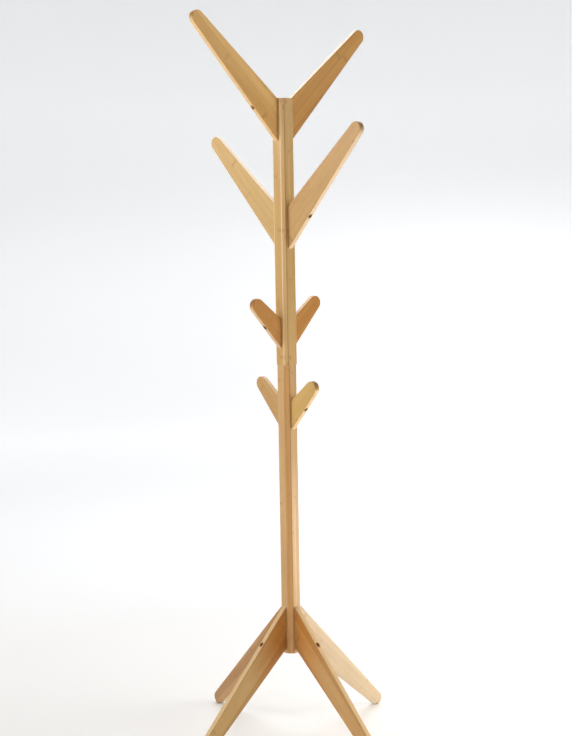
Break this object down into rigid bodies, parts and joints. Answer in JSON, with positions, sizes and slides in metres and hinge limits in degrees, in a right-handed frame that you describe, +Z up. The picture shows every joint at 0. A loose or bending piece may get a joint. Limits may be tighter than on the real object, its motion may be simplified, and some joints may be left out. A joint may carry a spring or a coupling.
{
  "type": "standing coat rack",
  "caption": "Free-standing tree-shaped coat rack in bamboo: a faceted pole with tapered hook boards at staggered levels and splayed legs.",
  "frame": {"origin": "on the floor, under the axis of the pole", "axes": "+Z up along the pole; X along the top and third pairs of hooks; Y along the second and lowest pairs; a leg along each of +X, +Y, -X and -Y"},
  "size_m": [0.588, 0.588, 1.66],
  "materials": {
    "bamboo_pole": "satin clear lacquer on laminated bamboo",
    "bamboo_board": "satin clear lacquer on laminated bamboo board",
    "beech": "raw turned beech",
    "bolt_steel": "black oxide",
    "stud_steel": "zinc plated",
    "insert_zinc": "yellow-passivated zinc alloy",
    "felt": "dense brown felt"
  },
  "bodies": {
    "root": {"upper_pole": "bamboo_pole", "lower_pole": "bamboo_pole", "pole_joint_stud": "stud_steel", "pole_joint_inserts": "insert_zinc", "top_hook_right": "bamboo_board", "top_hook_left": "bamboo_board", "second_hook_front": "bamboo_board", "second_hook_back": "bamboo_board", "third_hook_right": "bamboo_board", "third_hook_left": "bamboo_board", "lowest_hook_front": "bamboo_board", "lowest_hook_back": "bamboo_board", "leg_right": "bamboo_board", "leg_back": "bamboo_board", "leg_left": "bamboo_board", "leg_front": "bamboo_board", "large_hook_bolts": "bolt_steel", "small_hook_bolts": "bolt_steel", "leg_bolts": "bolt_steel", "large_hook_inserts": "insert_zinc", "small_hook_inserts": "insert_zinc", "leg_inserts": "insert_zinc", "large_hook_dowels": "beech", "small_hook_dowels": "beech", "leg_dowels": "beech", "foot_pad_right": "felt", "foot_pad_back": "felt", "foot_pad_left": "felt", "foot_pad_front": "felt"}
  },
  "joints": []
}
